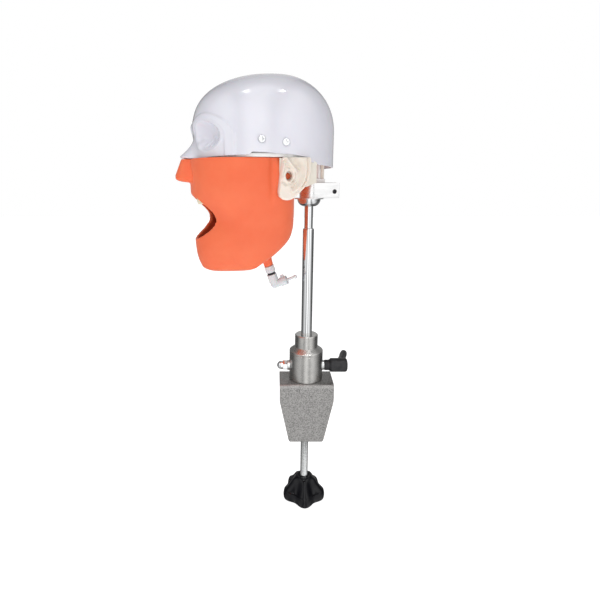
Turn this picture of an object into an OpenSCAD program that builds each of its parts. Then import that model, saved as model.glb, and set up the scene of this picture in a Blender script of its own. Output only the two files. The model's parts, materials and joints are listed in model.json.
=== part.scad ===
// Dental simulator head with a typodont, on a swivelling pole in a bench clamp.
// Millimetres, +Z up. The origin is the middle of the clamp's bench seat, the underside of its
// top arm, on the axis of the pole. The clamp's web is at -Y and the face looks to -X.

/* [Clamp] */
// Width of the clamp's top arm and web
clamp_w = 80; // [70:1:95]
// Thickness of the top arm
arm_t = 10; // [8:0.5:14]
// Front face of the web, in front of the pole's axis
web_y = 29; // [27:0.5:34]
// Thickness of the web
web_t = 8; // [6:0.5:10]
// Reach of the top arm behind the pole's axis
arm_back = 22; // [18:1:30]
// Height of the web below the bench seat
web_drop = 84; // [80:1:100]
// Width of the web's foot
foot_w = 50; // [44:1:60]
// Length of the screw boss below the foot
boss_len = 12; // [10:1:20]

/* [Clamp screw] */
// Radius of the spindle
spindle_r = 6; // [5:0.5:7]
// Lead of the spindle's thread
spindle_lead = 1.75; // [1.5:0.25:2]
// Top face of the pressure plate below the bench seat
plate_gap = 40; // [30:1:50]
// Radius of the pressure plate
plate_r = 16; // [12:1:18]
// Radius over the knob's lobes
knob_r = 34; // [28:1:38]
// Height of the knob's lobes
lobe_h = 13; // [10:1:18]

/* [Pole and socket] */
// Radius of the pole
pole_r = 8; // [7:0.5:9]
// Radius of the pole's neck
neck_r = 6; // [5:0.5:6.5]
// Height of the pole's shoulder, where the neck starts
shoulder_z = 237; // [200:1:260]
// Height of the pole's top
pole_top = 267; // [262:1:280]
// Radius of the socket's body
socket_r = 25; // [22:0.5:27]
// Radius of the socket's collar
collar_r = 17; // [13:0.5:19]
// Height of the guide screw and the lever above the bench seat
lock_z = 30; // [26:1:34]

/* [Head] */
// Turn of the head about the pole
head_turn = 15; // [0:1:30]
// Half the width of the skull cap
cap_w = 76; // [72:1:80]
// Height of the cap's lower edge
cap_edge_z = 330; // [328:1:332]
// Wall of the cap
cap_wall = 2.5; // [2:0.5:3]
// Wall of the face mask
mask_wall = 3.5; // [3:0.5:4]
// Opening of the jaw at rest
jaw_open = 25; // [20:1:28]
// Turn of the drain's elbow towards the clamp's web
drain_turn = 28; // [0:1:60]

/* [Hidden] */
$fn = 72;
fit = 0.05;

socket_top = 56;
cone_top = 61;
collar_top = 80;
groove_w = 5;
groove_r = 6.5;
foot_t = 12;
cup_z = pole_top;
disc_z = 277;
disc_t = 1.4;
disc_r = 20;
seat_z = disc_z + disc_t;

strap_x = 38;
strap_front = 3;
strap_r = 16;
strap_t = 3;
strap_h = 20;
strap_floor = 2.5;
tilt = [31, 287];
tilt_r = 3;
block_w = 24.5;
block_top = 304;
post_r = 2.5;
post_y = 8;
post_x = [9.5, 15.4];

frame_z = 327.5;
frame_t = 4;
plate_front = -128;
jaw_pin = [-60, 300];
jaw_pin_r = 3;
arm_y = [36, 41];
hanger_y = [42, 46];
bite_z = 272;
arch_c = -105.5;

drain_base = [-60, 194];
drain_lean = 18;
drain_seat = 12;

// Points of an arc, from angle a to angle b
function arc(c, r, a, b, n = 8) = [for (i = [0:n]) c + r * [cos(a + (b - a) * i / n), sin(a + (b - a) * i / n)]];

// Signed power, for the superellipses
function spow(v, e) = sign(v) * pow(abs(v), e);

// Closed horizontal outline around xm: front, back and side reach, squareness of the front and back
function outline(xm, front, back, side, n_front, n_back, count = 48) = [for (i = [0:count - 1])
    let (a = 360 * i / count, c = cos(a), s = sin(a), n = c < 0 ? n_front : n_back)
    [xm + (c < 0 ? xm - front : back - xm) * spow(c, 2 / n), side * spow(s, 2 / n)]];

function at_z(points, z) = [for (p = points) [p[0], p[1], z]];

// A closed solid through rings of equal length
module loft(rings) {
    n = len(rings[0]);
    m = len(rings);
    points = [for (r = rings) for (p = r) p];
    sides = [for (j = [0:m - 2]) for (i = [0:n - 1]) for (half = [0, 1])
        let (a = j * n + i, b = j * n + (i + 1) % n)
        half == 0 ? [a, a + n, b] : [b, a + n, b + n]];
    first = [for (i = [0:n - 1]) i];
    last = [for (i = [0:n - 1]) (m - 1) * n + (n - 1 - i)];
    polyhedron(points, concat(sides, [first, last]), convexity = 6);
}

module in_head() {
    rotate([0, 0, head_turn]) children();
}

module in_jaw() {
    in_head() translate([jaw_pin[0], 0, jaw_pin[1]]) rotate([0, -jaw_open, 0])
        translate([-jaw_pin[0], 0, -jaw_pin[1]]) children();
}

module at_drain() {
    translate([drain_base[0], 0, drain_base[1]]) rotate([0, -drain_lean, 0]) children();
}

module in_drain() {
    in_head() at_drain() children();
}

module in_hose() {
    in_drain() translate([0, 0, -elbow_depth]) rotate([0, 0, -drain_turn])
        rotate([0, 90 - hose_rise, 0]) children();
}

module both_sides() {
    children();
    mirror([0, 1, 0]) children();
}

module along_x(x0, x1, r, z = 0, r2 = undef) {
    translate([x0, 0, z]) rotate([0, 90, 0]) cylinder(r1 = r, r2 = r2 == undef ? r : r2, h = x1 - x0);
}

module along_y(y0, y1, r) {
    translate([0, y1, 0]) rotate([90, 0, 0]) cylinder(r = r, h = y1 - y0);
}

// ---- Bench clamp ----

socket_screw_pcd = 34;
socket_screw_r = 2.5;
corner_r = 6;
inner_r = 4;

module clamp_side() {
    top = arm_t;
    inner_y = web_t - web_y;
    bottom = -web_drop;
    polygon(concat(
        [[arm_back, 0], [arm_back, top - 1.5], [arm_back - 1.5, top]],
        arc([-web_y + corner_r, top - corner_r], corner_r, 90, 180),
        arc([-web_y + 2, bottom + 2], 2, 180, 270, 3),
        arc([14 - 2, bottom + 2], 2, 270, 360, 3),
        [[14, bottom + foot_t]],
        arc([inner_y + inner_r, bottom + foot_t + inner_r], inner_r, 270, 180),
        arc([inner_y + inner_r, -inner_r], inner_r, 180, 90)));
}

module clamp_front() {
    taper_z = -16;
    polygon([[-clamp_w / 2, arm_t + 1], [-clamp_w / 2, taper_z], [-foot_w / 2 - 1.5, 4 - web_drop],
        [-foot_w / 2 + 1.5, -web_drop - 1], [foot_w / 2 - 1.5, -web_drop - 1], [foot_w / 2 + 1.5, 4 - web_drop],
        [clamp_w / 2, taper_z], [clamp_w / 2, arm_t + 1]]);
}

module clamp_frame() {
    color("darkgray") difference() {
        union() {
            intersection() {
                rotate([90, 0, 90]) translate([0, 0, -clamp_w / 2]) linear_extrude(clamp_w) clamp_side();
                translate([0, arm_back + 1, 0]) rotate([90, 0, 0])
                    linear_extrude(arm_back + web_y + 2) clamp_front();
            }
            translate([0, 0, -web_drop - boss_len]) cylinder(r = 10, h = boss_len + 1);
        }
        translate([0, 0, -web_drop - boss_len - 1]) cylinder(r = spindle_r + fit, h = boss_len + foot_t + 2);
        for (a = [30:120:270]) rotate([0, 0, a]) translate([socket_screw_pcd / 2, 0, -1]) {
            cylinder(r = socket_screw_r + fit, h = arm_t + 2);
            cylinder(r = 5, h = 4);
        }
    }
}

module pole_socket() {
    color("silver") difference() {
        rotate_extrude() polygon([[0, arm_t], [socket_r - 1, arm_t], [socket_r, arm_t + 1], [socket_r, 52],
            [socket_r - 0.5, 52.4], [socket_r, 52.8], [socket_r, socket_top - 1], [socket_r - 1, socket_top],
            [collar_r, cone_top], [collar_r, collar_top - 1], [collar_r - 1, collar_top], [0, collar_top]]);
        translate([0, 0, arm_t + 3]) cylinder(r = pole_r + fit, h = collar_top);
        along_x(-socket_r - 1, 0, 4, lock_z);
        along_x(0, socket_r + 1, 4.5, lock_z);
        along_x(socket_r - 4, socket_r + 1, 7.5, lock_z);
        for (a = [30:120:270]) rotate([0, 0, a]) translate([socket_screw_pcd / 2, 0, arm_t - 1])
            cylinder(r = socket_screw_r + fit, h = 14);
    }
}

module socket_screws() {
    color("dimgray") for (a = [30:120:270]) rotate([0, 0, a])
        translate([socket_screw_pcd / 2, 0, 0.4]) difference() {
        union() {
            cylinder(r = 4.6, h = 2.6);
            cylinder(r = socket_screw_r, h = arm_t + 10);
        }
        translate([0, 0, -1]) cylinder(r = 1.8, h = 2.5, $fn = 6);
    }
}

module guide_screw() {
    color("silver") union() {
        along_x(-socket_r - 13, -groove_r - 3, 4 - fit, lock_z);
        along_x(-groove_r - 3.01, -groove_r - 0.2, 2, lock_z);
    }
}

module guide_washer() {
    color("gainsboro") difference() {
        along_x(-socket_r - 3, -socket_r + 0.6, 7.5, lock_z);
        along_x(-socket_r - 4, -socket_r + 2, 4, lock_z);
        cylinder(r = socket_r + fit, h = socket_top);
    }
}

module acorn_nut() {
    hex_x = -socket_r - 10;
    color("silver") difference() {
        union() {
            translate([hex_x, 0, lock_z]) rotate([0, 90, 0]) cylinder(r = 7.5, h = 7, $fn = 6);
            translate([hex_x + 0.01, 0, lock_z]) rotate([0, -90, 0]) rotate_extrude()
                polygon(concat([[0, 0], [6.2, 0]], arc([0, 2.6], 6.2, 0, 90, 10)));
        }
        along_x(hex_x - 4, -socket_r, 4, lock_z);
    }
}

module lever_bush() {
    color("gainsboro") difference() {
        union() {
            along_x(socket_r - 4, socket_r + 2.3, 7.4, lock_z);
            along_x(pole_r + 5, socket_r - 3.9, 4.4, lock_z);
        }
        along_x(0, socket_r + 4, 3.1, lock_z);
    }
}

module lock_shoe() {
    color("goldenrod") difference() {
        along_x(pole_r - 2, pole_r + 4.6, 4.4, lock_z);
        cylinder(r = pole_r + fit, h = 60);
    }
}

// ---- Clamping lever ----

hub_in = socket_r + 2.8;
hub_neck = socket_r + 10.5;
hub_out = hub_neck + 27;
hub_r = 10.5;
handle_reach = 46;
handle_lean = 12;
hub_bore = 5.6;
spring_r = 4.2;
shoulder_in = hub_neck + 6.5;
shoulder_out = shoulder_in + 2.5;

module lever_stud() {
    color("silver") union() {
        along_x(pole_r + 4.7, hub_neck - 1, 3, lock_z);
        along_x(hub_in + 5, shoulder_in - 0.5, hub_bore - 0.1, lock_z);
    }
}

module lever_handle() {
    color("#1c1c1e") difference() {
        union() {
            translate([hub_in, 0, lock_z]) rotate([0, 90, 0]) rotate_extrude() polygon(concat(
                [[0, 0], [7.4, 0], [8, 0.6], [8, 7.2], [hub_r, 9.2], [hub_r, hub_out - hub_in - 3]],
                arc([hub_r - 3, hub_out - hub_in - 3], 3, 0, 90, 5), [[0, hub_out - hub_in]]));
            translate([0, 0, lock_z]) hull() {
                translate([hub_out - 10, 3, 0]) sphere(r = 7, $fn = 24);
                translate([hub_out - 10 + handle_lean, handle_reach, 0]) sphere(r = 5.5, $fn = 24);
            }
        }
        along_x(hub_in - 1, shoulder_in, hub_bore, lock_z);
        along_x(hub_in, hub_out, 2.3, lock_z);
        along_x(shoulder_out, hub_out + 1, spring_r + 0.4, lock_z);
    }
}

module lever_spring() {
    color("silver") difference() {
        along_x(shoulder_out + 0.1, hub_out - 2.9, spring_r, lock_z);
        along_x(hub_neck, hub_out, spring_r - 1.2, lock_z);
    }
}

module lever_screw() {
    color("silver") difference() {
        union() {
            along_x(shoulder_in - 0.4, hub_out - 2.79, 2, lock_z);
            along_x(hub_out - 2.8, hub_out + 0.4, spring_r, lock_z);
        }
        translate([hub_out - 1, -0.5, lock_z - 5]) cube([3, 1, 10]);
    }
}

// ---- Clamp screw ----

plate_z = -plate_gap;
knob_z = -163;
lobe_top = -188;
lobe_count = 5;
lobe_swing = 3.3;
knob_hub_r = 12.5;

module clamp_spindle() {
    color("silver") union() {
        translate([0, 0, knob_z - 16]) cylinder(r = spindle_r, h = plate_z - 14 - knob_z + 16);
        translate([0, 0, plate_z - 14.1]) cylinder(r = 3.4, h = 3.1);
        translate([0, 0, plate_z - 11.1]) cylinder(r = 4.4, h = 5.6);
    }
}

// Outline of the knob at a share of the way from its hub to the lobes
function star_ring(share, z) = [for (i = [0:89])
    let (a = 4 * i, lobe = knob_r - lobe_swing * (1 - cos(lobe_count * (a + 90))),
        r = knob_hub_r + (lobe - knob_hub_r) * share)
    [r * cos(a), r * sin(a), z]];

module star_knob() {
    bottom = lobe_top - lobe_h;
    color("#141416") difference() {
        loft([star_ring(0.88, bottom), star_ring(1, bottom + 3), star_ring(1, lobe_top),
            star_ring(0.81, lobe_top + 5), star_ring(0.53, knob_z - 12.5), star_ring(0.26, knob_z - 4.5),
            star_ring(0, knob_z - 1), star_ring(-0.05, knob_z)]);
        translate([0, 0, knob_z - 16.2]) cylinder(r = spindle_r + fit, h = 20);
    }
}

module pressure_plate() {
    color("gray") difference() {
        union() {
            translate([0, 0, plate_z - 4]) cylinder(r = plate_r, h = 4);
            translate([0, 0, plate_z - 13.5]) cylinder(r = 8, h = 9.6);
        }
        translate([0, 0, plate_z - 15]) cylinder(r = 4.5, h = 10);
        translate([0, 0, plate_z - 12.8]) cylinder(r = 6.2, h = 1.3);
    }
}

module plate_ring() {
    color("silver") difference() {
        translate([0, 0, plate_z - 12.7]) cylinder(r = 6.1, h = 1.1);
        translate([0, 0, plate_z - 14]) cylinder(r = 3.5, h = 5);
    }
}

// ---- Pole and neck ----

module pole() {
    color("gainsboro") difference() {
        rotate_extrude() polygon(concat(
            [[0, arm_t + 3.1], [pole_r - 1, arm_t + 3.1], [pole_r, arm_t + 4.1],
            [pole_r, lock_z - groove_w / 2], [groove_r, lock_z - groove_w / 2],
            [groove_r, lock_z + groove_w / 2], [pole_r, lock_z + groove_w / 2]],
            arc([pole_r - 2, shoulder_z - 2], 2, 0, 90, 5),
            [[neck_r, shoulder_z], [neck_r, pole_top], [0, pole_top]]));
        translate([0, 0, pole_top - 20]) cylinder(r = 3, h = 21);
    }
}

module neck_cup() {
    cup_r = 16;
    cup_h = disc_z - cup_z;
    color("silver") difference() {
        translate([0, 0, cup_z]) rotate_extrude() polygon(concat([[0, 0], [neck_r, 0]],
            arc([neck_r, cup_h], cup_h, -80, 0, 10), [[0, cup_h]]));
        translate([0, 0, cup_z - 1]) cylinder(r = 3, h = cup_h + 2);
    }
}

module neck_disc() {
    color("silver") difference() {
        translate([0, 0, disc_z]) cylinder(r = disc_r, h = disc_t);
        translate([0, 0, disc_z - 1]) cylinder(r = 3, h = disc_t + 2);
    }
}

module strap_plan(r) {
    translate([strap_front, 0]) circle(r = r);
    translate([strap_front, -r]) square([strap_x - strap_front, 2 * r]);
}

module neck_bracket() {
    color("gainsboro") in_head() difference() {
        translate([0, 0, seat_z]) linear_extrude(strap_h) strap_plan(strap_r);
        translate([0, 0, seat_z + strap_floor]) linear_extrude(strap_h) strap_plan(strap_r - strap_t);
        translate([disc_r - 1, -strap_r + strap_t, seat_z - 1]) cube([40, 2 * (strap_r - strap_t), strap_h]);
        translate([0, 0, seat_z - 1]) cylinder(r = 3 + fit, h = 5);
        translate([tilt[0], 0, tilt[1]]) along_y(-20, 20, tilt_r + fit);
    }
}

module neck_screw() {
    color("dimgray") difference() {
        union() {
            translate([0, 0, pole_top - 18]) cylinder(r = 2.95, h = seat_z + strap_floor - pole_top + 18.1);
            translate([0, 0, seat_z + strap_floor]) cylinder(r = 5, h = 2.6);
        }
        translate([0, 0, seat_z + strap_floor + 1]) cylinder(r = 2.3, h = 4, $fn = 6);
    }
}

module tilt_pin() {
    color("#202022") in_head() translate([tilt[0], 0, tilt[1]]) difference() {
        along_y(-strap_r + 0.2, strap_r - 0.2, tilt_r);
        for (side = [-1, 1]) translate([0, side * strap_r, 0]) rotate([90, 0, 0])
            translate([0, 0, -2]) cylinder(r = 1.7, h = 4, $fn = 6);
    }
}

module friction_washers() {
    color("goldenrod") in_head() both_sides() translate([tilt[0], 0, tilt[1]]) difference() {
        along_y(block_w / 2 + 0.05, strap_r - strap_t - 0.05, 7);
        along_y(0, 20, tilt_r + fit);
    }
}

// ---- Head frame ----

module hinge_block() {
    color("whitesmoke") in_head() difference() {
        rotate([90, 0, 0]) translate([0, 0, -block_w / 2]) linear_extrude(block_w) polygon(concat(
            [[6, 297.5], [6, 288], [13, 283]], arc(tilt, 7, 235, 360, 10),
            [[38, 296], [34, 299], [18, 299], [18, block_top], [6, block_top]]));
        translate([tilt[0], 0, tilt[1]]) along_y(-20, 20, tilt_r + fit);
        for (x = post_x) for (s = [-1, 1]) translate([x, s * post_y, 292]) cylinder(r = post_r + fit, h = 20);
    }
}

module posts(x) {
    in_head() for (s = [-1, 1]) translate([x, s * post_y, 292.1]) difference() {
        cylinder(r = post_r, h = frame_z - 292.1);
        translate([0, 0, frame_z - 292.1 - 12]) cylinder(r = 1.2, h = 13);
    }
}

module front_posts() {
    color("white") posts(post_x[0]);
}

module rear_posts() {
    color("beige") posts(post_x[1]);
}

function cap_outline(z, inset) = outline(-50,
    -50 - 104 * dome(z, 365, 63, 2.25) + inset, -50 + 76 * dome(z, 360, 68, 2.05) - inset,
    cap_w * dome(z, 355, 73, 2.6) - inset, 2.2, 2.2);
function dome(z, z0, h, n) = z <= z0 ? 1 : pow(max(0, 1 - pow((z - z0) / h, n)), 1 / n);

module frame_plan(inset) {
    intersection() {
        polygon(cap_outline(cap_edge_z, cap_wall + 0.6 + inset));
        translate([plate_front, -cap_w]) square([200, 2 * cap_w]);
    }
}

flange_x = [-94, -47];
flange_top = 353;
cap_screw_x = [-84, -56];
cap_screw_y = [73.2, 75.8];
cap_screw_z = [346.5, 343.5];
hanger_x = [-71, -54];
hanger_screw_x = [-67, -58];

module head_frame() {
    color("white") in_head() difference() {
        union() {
            difference() {
                translate([0, 0, frame_z]) linear_extrude(frame_t) frame_plan(0);
                translate([-50, 0, frame_z - 1]) cylinder(r = 24, h = 10);
            }
            translate([0, 0, frame_z + 1]) intersection() {
                linear_extrude(flange_top - frame_z - 1) difference() {
                    frame_plan(2.5);
                    frame_plan(7.5);
                }
                translate([flange_x[0], -cap_w, 0]) cube([flange_x[1] - flange_x[0], 2 * cap_w, 40]);
            }
        }
        for (i = [0, 1]) translate([cap_screw_x[i], 0, cap_screw_z[i]]) along_y(-cap_w - 5, cap_w + 5, 1.7);
        for (x = post_x) for (s = [-1, 1]) translate([x, s * post_y, frame_z - 1])
            cylinder(r = 1.7, h = 10);
        both_sides() for (x = hanger_screw_x) translate([x, (hanger_y[0] + hanger_y[1]) / 2, frame_z - 1])
            cylinder(r = 1.3, h = 10);
        for (s = [-1, 1]) translate([-113, s * 12, frame_z - 1]) cylinder(r = 1.7, h = 10);
    }
}

module pan_screw(h, r, head_r, head_h) {
    difference() {
        union() {
            translate([0, 0, -h]) cylinder(r = r, h = h + 0.1);
            cylinder(r1 = head_r, r2 = head_r - 0.8, h = head_h);
        }
        for (a = [0, 90]) rotate([0, 0, a]) translate([-head_r * 0.6, -0.45, head_h - 1])
            cube([head_r * 1.2, 0.9, 2]);
    }
}

module frame_screws() {
    top = frame_z + frame_t;
    color("silver") in_head() {
        for (i = [0, 1]) for (s = [-1, 1]) translate([post_x[i], s * post_y, top])
            pan_screw(13, 1.15, 2.4, 1.8);
        for (s = [-1, 1]) translate([-113, s * 12, top]) pan_screw(16, 1.6, 3.4, 2);
        both_sides() for (x = hanger_screw_x) translate([x, (hanger_y[0] + hanger_y[1]) / 2, top])
            pan_screw(12, 1.2, 2.6, 1.8);
    }
}

// ---- Skull cap ----

// Rise of the lower edge along the notch and drop at the brow and the nape
function edge_z(x, y) = cap_edge_z + (abs(y) > 55 && x > -97 && x < -46 ? 3 : 0)
    - (x > -26 ? 8 * min(1, (x + 26) / 14) : 0);

// Forward and backward push of the cap's front: the bridge of the nose and the eye hollows
function cap_push(x, y, z) = x > -100 ? 0 : 12 * exp(-pow((abs(y) - 35) / 14, 2) - pow((z - 350) / 14, 2))
    - 16 * exp(-pow(y / 9, 2) - pow((z - 328) / 9, 2));

function cap_ring(level, inset) = [for (p = cap_outline(level, inset))
    let (z = level == cap_edge_z ? edge_z(p[0], p[1]) : level)
    [p[0] + cap_push(p[0], p[1], z), p[1], z]];

cap_levels = [cap_edge_z, 337, 344, 351, 358, 366, 376, 386, 396, 405, 413, 420, 424.5, 427.3];

module skull_cap() {
    outer = [for (z = cap_levels) cap_ring(z, 0)];
    inner = [for (z = cap_levels) cap_ring(z, cap_wall)];
    skirt = [for (p = inner[0]) [p[0], p[1], p[2] - 15]];
    color("#e8e6ee") in_head() difference() {
        loft(outer);
        translate([0, 0, -cap_wall / 1.4]) loft(concat([skirt], inner));
        both_sides() for (i = [0, 1]) translate([cap_screw_x[i], 0, cap_screw_z[i]]) {
            along_y(60, cap_w + 5, 1.8);
            along_y(cap_screw_y[i], cap_w + 5, 4.9);
        }
    }
}

module cap_screws() {
    color("silver") in_head() both_sides() for (i = [0, 1])
        translate([cap_screw_x[i], cap_screw_y[i], cap_screw_z[i]]) rotate([-90, 0, 0]) pan_screw(8, 1.6, 4.6, 2);
}

// ---- Face mask ----

mask_rows = [[185, -141, -98, 20], [188, -147, -84, 30], [194, -151, -72, 37], [202, -154, -59, 42],
    [213, -156, -45, 46.5], [226, -157, -33.5, 50.5], [240, -158, -29, 54], [256, -158, -28.5, 58.5],
    [272, -159, -29, 63], [288, -160, -29.5, 66.5], [303, -160, -30, 68], [316, -160, -30, 68.5],
    [327.2, -160, -30.5, 68.5]];

function mask_ring(row, inset) =
    at_z(outline(-88, row[1] + inset, row[2] - inset, row[3] - inset, 2.3, 3), row[0]);

module mouth_plan() {
    polygon(concat(arc([-16, 261], 17, 180, 110, 6), [[-10, 281], [0, 285], [10, 281]],
        arc([16, 261], 17, 70, 0, 6), arc([10, 251], 20, 0, -70, 6), [[0, 230]],
        arc([-10, 251], 20, 250, 180, 6)));
}

module face_mask() {
    n = len(mask_rows);
    outer = [for (r = mask_rows) mask_ring(r, 0)];
    inner = [for (k = [1:n - 1]) mask_ring(mask_rows[k], mask_wall)];
    color("#fa7b52") in_head() difference() {
        union() {
            difference() {
                loft(outer);
                translate([0, 0, 0.9]) loft(inner);
            }
            nose();
            at_drain() {
                translate([0, 0, -8]) cylinder(r = 6.5, h = 16);
                translate([0, 0, drain_seat - 2.5]) cylinder(r = 9, h = 2.5);
            }
        }
        translate([-200, 0, 0]) rotate([90, 0, 90]) linear_extrude(110) mouth_plan();
        at_drain() translate([0, 0, -9]) cylinder(r = 4.6, h = 30);
    }
}

module nose() {
    hull() {
        translate([-163, 0, 323.8]) sphere(r = 3, $fn = 16);
        for (s = [-1, 1]) translate([-164, s * 11, 307]) sphere(r = 5, $fn = 16);
        translate([-173, 0, 306.5]) sphere(r = 6, $fn = 16);
        translate([-158, 0, 302]) sphere(r = 4, $fn = 16);
    }
}

// ---- Ears ----

ear_side = 71.5;
ear_x = -48.5;
canal_x = -52.5;
ear_edge = [[-6.5, 21], [-9.5, 6], [-11.5, -14], [-10, -25], [-5, -28], [3, -26.5], [11, -21], [18.5, -13],
    [23.5, -5], [26.5, 4], [27, 14], [26.5, 21]];

function ear_ring(s, y) = [for (p = ear_edge)
    [ear_x + (p[0] - 4) * s, y, 306 + (p[1] > 20 ? 21 : (p[1] + 3) * s - 3)]];

module ear() {
    color("antiquewhite") difference() {
        loft([ear_ring(0.72, ear_side), ear_ring(0.8, ear_side + 4), ear_ring(0.98, ear_side + 9),
            ear_ring(0.95, ear_side + 13), ear_ring(0.8, ear_side + 14)]);
        translate([canal_x, 0, 306]) along_y(60, 100, 3.4);
        translate([ear_x, ear_side + 17, 308]) sphere(r = 12, $fn = 32);
    }
}

module ear_far() {
    in_head() ear();
}

module ear_near() {
    in_head() mirror([0, 1, 0]) ear();
}

module ear_plate() {
    plate_y = [69.2, 71.2];
    color("cornsilk") difference() {
        translate([0, plate_y[1], 0]) rotate([90, 0, 0]) linear_extrude(plate_y[1] - plate_y[0])
            polygon([[-62, 326.5], [-62, 300], [-46, 291], [-28, 294], [-16, 298.5], [-16, 321.5], [-25, 326.5]]);
        translate([canal_x, 0, 306]) along_y(60, 100, 4);
    }
}

module ear_plate_far() {
    in_head() ear_plate();
}

module ear_plate_near() {
    in_head() mirror([0, 1, 0]) ear_plate();
}

// ---- Jaws ----

module jaw_hangers() {
    color("silver") in_head() both_sides() difference() {
        translate([hanger_x[0], hanger_y[0], 293])
            cube([hanger_x[1] - hanger_x[0], hanger_y[1] - hanger_y[0], frame_z - 293]);
        translate([jaw_pin[0], 0, jaw_pin[1]]) along_y(40, 60, jaw_pin_r + fit);
        for (x = hanger_screw_x) translate([x, (hanger_y[0] + hanger_y[1]) / 2, frame_z - 11])
            cylinder(r = 1.2, h = 12);
    }
}

module jaw_pins() {
    color("silver") in_head() both_sides() translate([jaw_pin[0], 0, jaw_pin[1]]) union() {
        along_y(arm_y[0] - 2.6, hanger_y[1] + 3, jaw_pin_r);
        along_y(arm_y[0] - 2.6, arm_y[0] - 0.3, 5);
        along_y(hanger_y[1], hanger_y[1] + 2.5, 5.2);
    }
}

module jaw_washers() {
    color("goldenrod") in_head() both_sides() translate([jaw_pin[0], 0, jaw_pin[1]]) difference() {
        along_y(arm_y[1] + 0.1, hanger_y[0], 6);
        along_y(0, 70, jaw_pin_r + fit);
    }
}

module arch_mount() {
    color("silver") in_head() difference() {
        union() {
            translate([-126, -20, 300]) cube([26, 40, frame_z - 300]);
            translate([-140, -20, 297]) cube([40, 40, 3.2]);
        }
        for (s = [-1, 1]) translate([-113, s * 12, frame_z - 17]) cylinder(r = 1.65, h = 18);
        translate([-120, 0, 290]) cylinder(r = 2.6, h = 20);
    }
}

function arch(t, a, b) = [arch_c - a * cos(t), b * sin(t)];
arch_steps = 12;

module arch_band(a_out, b_out, a_in, b_in, tail) {
    out = [for (i = [-arch_steps:arch_steps]) arch(90 * i / arch_steps, a_out, b_out)];
    inn = [for (i = [arch_steps:-1:-arch_steps]) arch(90 * i / arch_steps, a_in, b_in)];
    polygon(concat([[arch_c + tail, -b_out]], out, [[arch_c + tail, b_out], [arch_c + tail, b_in]], inn,
        [[arch_c + tail, -b_in]]));
}

// Widths of one side's teeth, from the middle outwards
upper_widths = [8.4, 6.8, 7.6, 7, 6.8, 10, 9.4];
lower_widths = [5.4, 6, 6.8, 7, 7.2, 10.8, 10.2];

// Angle along the arch after stepping w millimetres from angle t
function step_on(t, w, a, b) = t + w / (norm([a * sin(t), b * cos(t)]) * PI / 180);
function centres(widths, a, b, i, t) = i == len(widths) ? [] :
    let (mid = step_on(t, widths[i] / 2, a, b), next = step_on(mid, widths[i] / 2, a, b))
    concat([mid], centres(widths, a, b, i + 1, next));

function tooth_ring(w, d, z) = [for (i = [0:11]) let (q = 30 * i + 15)
    [d / 2 * spow(cos(q), 0.7), w / 2 * spow(sin(q), 0.7), z]];

module tooth(w, d, h) {
    edge = d > 7 ? 0.86 : 0.45;
    loft([tooth_ring(w * 0.72, d * 0.8, 0), tooth_ring(w * 0.97, d, h * 0.45),
        tooth_ring(w * 0.97, d * (d > 7 ? 1 : 0.7), h * 0.8), tooth_ring(w * 0.86, d * edge, h)]);
}

module tooth_row(widths, a, b) {
    spots = centres(widths, a, b, 0, 0);
    for (s = [-1, 1]) for (i = [0:len(widths) - 1]) {
        spot = arch(s * spots[i], a, b);
        turn = atan2(s * sin(spots[i]) / b, -cos(spots[i]) / a);
        deep = i < 3 ? 6.5 : (i < 5 ? 8.2 : 9.8);
        translate([spot[0], spot[1], 0]) rotate([0, 0, turn])
            tooth(widths[i] - 0.3, deep, 9 - i * 0.25);
    }
}

module upper_gum() {
    color("#d98a86") in_head() difference() {
        union() {
            translate([0, 0, 281.4]) linear_extrude(15.4) arch_band(50, 31, 37, 19, 8);
            translate([0, 0, 291.5]) linear_extrude(5.3) arch_band(46, 28, 3, 2, 8);
        }
        translate([-120, 0, 280]) cylinder(r = 2.6, h = 20);
    }
}

module upper_teeth() {
    color("ivory") in_head() translate([0, 0, 281.2]) mirror([0, 0, 1]) tooth_row(upper_widths, 45.5, 26.5);
}

module upper_arch_screw() {
    color("silver") in_head() translate([-120, 0, 291.3]) union() {
        translate([0, 0, 0.1]) cylinder(r = 2.5, h = 9);
        translate([0, 0, -3]) cylinder(r = 5, h = 3.1);
    }
}

module jaw_frame() {
    color("silver") in_jaw() difference() {
        union() {
            both_sides() translate([0, arm_y[1], 0]) rotate([90, 0, 0]) linear_extrude(arm_y[1] - arm_y[0])
                polygon(concat([[-116, 238], [-101, 238]], arc(jaw_pin, 8, -30, 150, 8)));
            translate([-116, -arm_y[0] - 0.1, 238]) cube([15, 2 * arm_y[0] + 0.2, 4]);
            translate([-140, -16, 238]) cube([30, 32, 4]);
        }
        translate([jaw_pin[0], 0, jaw_pin[1]]) along_y(-60, 60, jaw_pin_r + fit);
        translate([-120, 0, 230]) cylinder(r = 2.6, h = 20);
    }
}

module lower_gum() {
    color("#d98a86") in_jaw() difference() {
        union() {
            translate([0, 0, 242.2]) linear_extrude(20) arch_band(44.5, 29.5, 33, 18, 6);
            translate([0, 0, 242.2]) linear_extrude(5) arch_band(40, 26, 3, 2, 6);
        }
        translate([-120, 0, 230]) cylinder(r = 2.6, h = 30);
    }
}

module lower_teeth() {
    color("ivory") in_jaw() translate([0, 0, 262.4]) tooth_row(lower_widths, 40.5, 25.5);
}

module lower_arch_screw() {
    color("silver") in_jaw() translate([-120, 0, 247.4]) union() {
        translate([0, 0, -13]) cylinder(r = 2.5, h = 13.1);
        cylinder(r = 5, h = 3);
    }
}

// ---- Drain ----

elbow_depth = 36.5;
hose_rise = 7;

module drain_tube() {
    color("white") in_drain() difference() {
        union() {
            translate([0, 0, -21]) cylinder(r = 4.5, h = drain_seat + 21.1);
            translate([0, 0, drain_seat]) cylinder(r = 8, h = 1.5);
        }
        translate([0, 0, -22]) cylinder(r = 3, h = 40);
    }
}

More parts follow.
